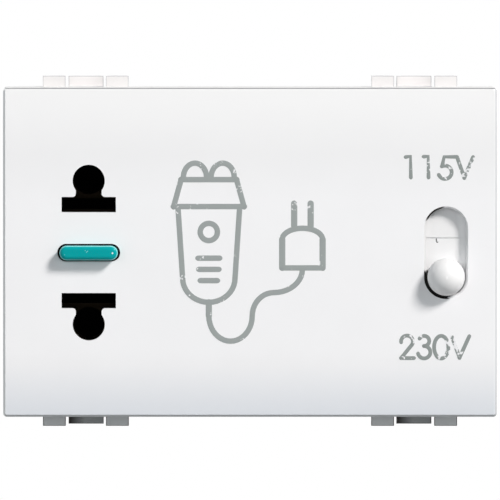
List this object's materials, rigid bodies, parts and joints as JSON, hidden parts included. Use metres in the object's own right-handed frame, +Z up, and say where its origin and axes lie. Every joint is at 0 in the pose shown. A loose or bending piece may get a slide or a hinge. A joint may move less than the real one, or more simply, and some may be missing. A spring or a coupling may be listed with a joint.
{
  "type": "shaver socket",
  "caption": "Flush-mounted shaver socket with keyhole pin entries, a plug-pressed plunger and a sliding voltage selector, over a small transformer.",
  "frame": {"origin": "middle of the plane in which the support frame's front meets the outer stops", "axes": "+X to the right of the face, +Y into the wall, +Z up"},
  "size_m": [0.066, 0.053, 0.047],
  "materials": {
    "black_plastic": "matt moulding",
    "bobbin_plastic": "glass-filled moulding",
    "brass": "drawn strip",
    "contact_bronze": "dark tarnished strip",
    "enamelled_copper": "enamelled wire",
    "grey_plastic": "satin moulding",
    "lamination": "varnished edges",
    "lead_blue": "insulated wire",
    "lead_brown": "insulated wire",
    "lead_white": "insulated wire",
    "plated_steel": "zinc plated",
    "teal_plastic": "polished moulding",
    "white_plastic": "fine satin moulding"
  },
  "bodies": {
    "socket": {"front_cover": "white_plastic", "rear_housing": "grey_plastic", "housing_screws": "plated_steel", "contact_carrier": "black_plastic", "carrier_screws": "plated_steel", "carrier_lid": "black_plastic", "upper_contact": "contact_bronze", "lower_contact": "contact_bronze", "plunger_spring": "plated_steel", "interlock_base": "black_plastic", "switch_contact_feed": "brass", "switch_contact_load": "brass", "selector_guide": "white_plastic", "selector_contact_115": "brass", "selector_contact_230": "brass", "selector_contact_common": "brass", "selector_base": "grey_plastic", "selector_screws": "plated_steel", "core_e_stack": "lamination", "core_i_stack": "lamination", "bobbin": "bobbin_plastic", "primary_winding": "enamelled_copper", "secondary_winding": "enamelled_copper", "core_clamp": "plated_steel", "thermal_cutout": "black_plastic", "terminal_block": "grey_plastic", "terminal_line": "brass", "terminal_neutral": "brass", "terminal_screws": "plated_steel", "lead_115": "lead_white", "lead_230": "lead_white", "lead_common": "lead_white", "lead_line": "lead_brown", "lead_neutral": "lead_blue", "lead_switched": "lead_brown", "lead_zero": "lead_blue"},
    "plunger": {"interlock_plunger": "teal_plastic", "interlock_bridge": "brass"},
    "selector": {"selector_slider": "white_plastic", "selector_bridge": "brass"}
  },
  "joints": [
    {"name": "plunger_press", "type": "slide", "parent": "socket", "child": "plunger", "axis": [0, 1, 0], "range_m": [0, 0.0019], "stiffness_N_per_m": 400, "springref_m": -0.002, "deforming": ["plunger_spring"]},
    {"name": "voltage_select", "type": "slide", "parent": "socket", "child": "selector", "axis": [0, 0, 1], "range_m": [0, 0.0065]}
  ]
}
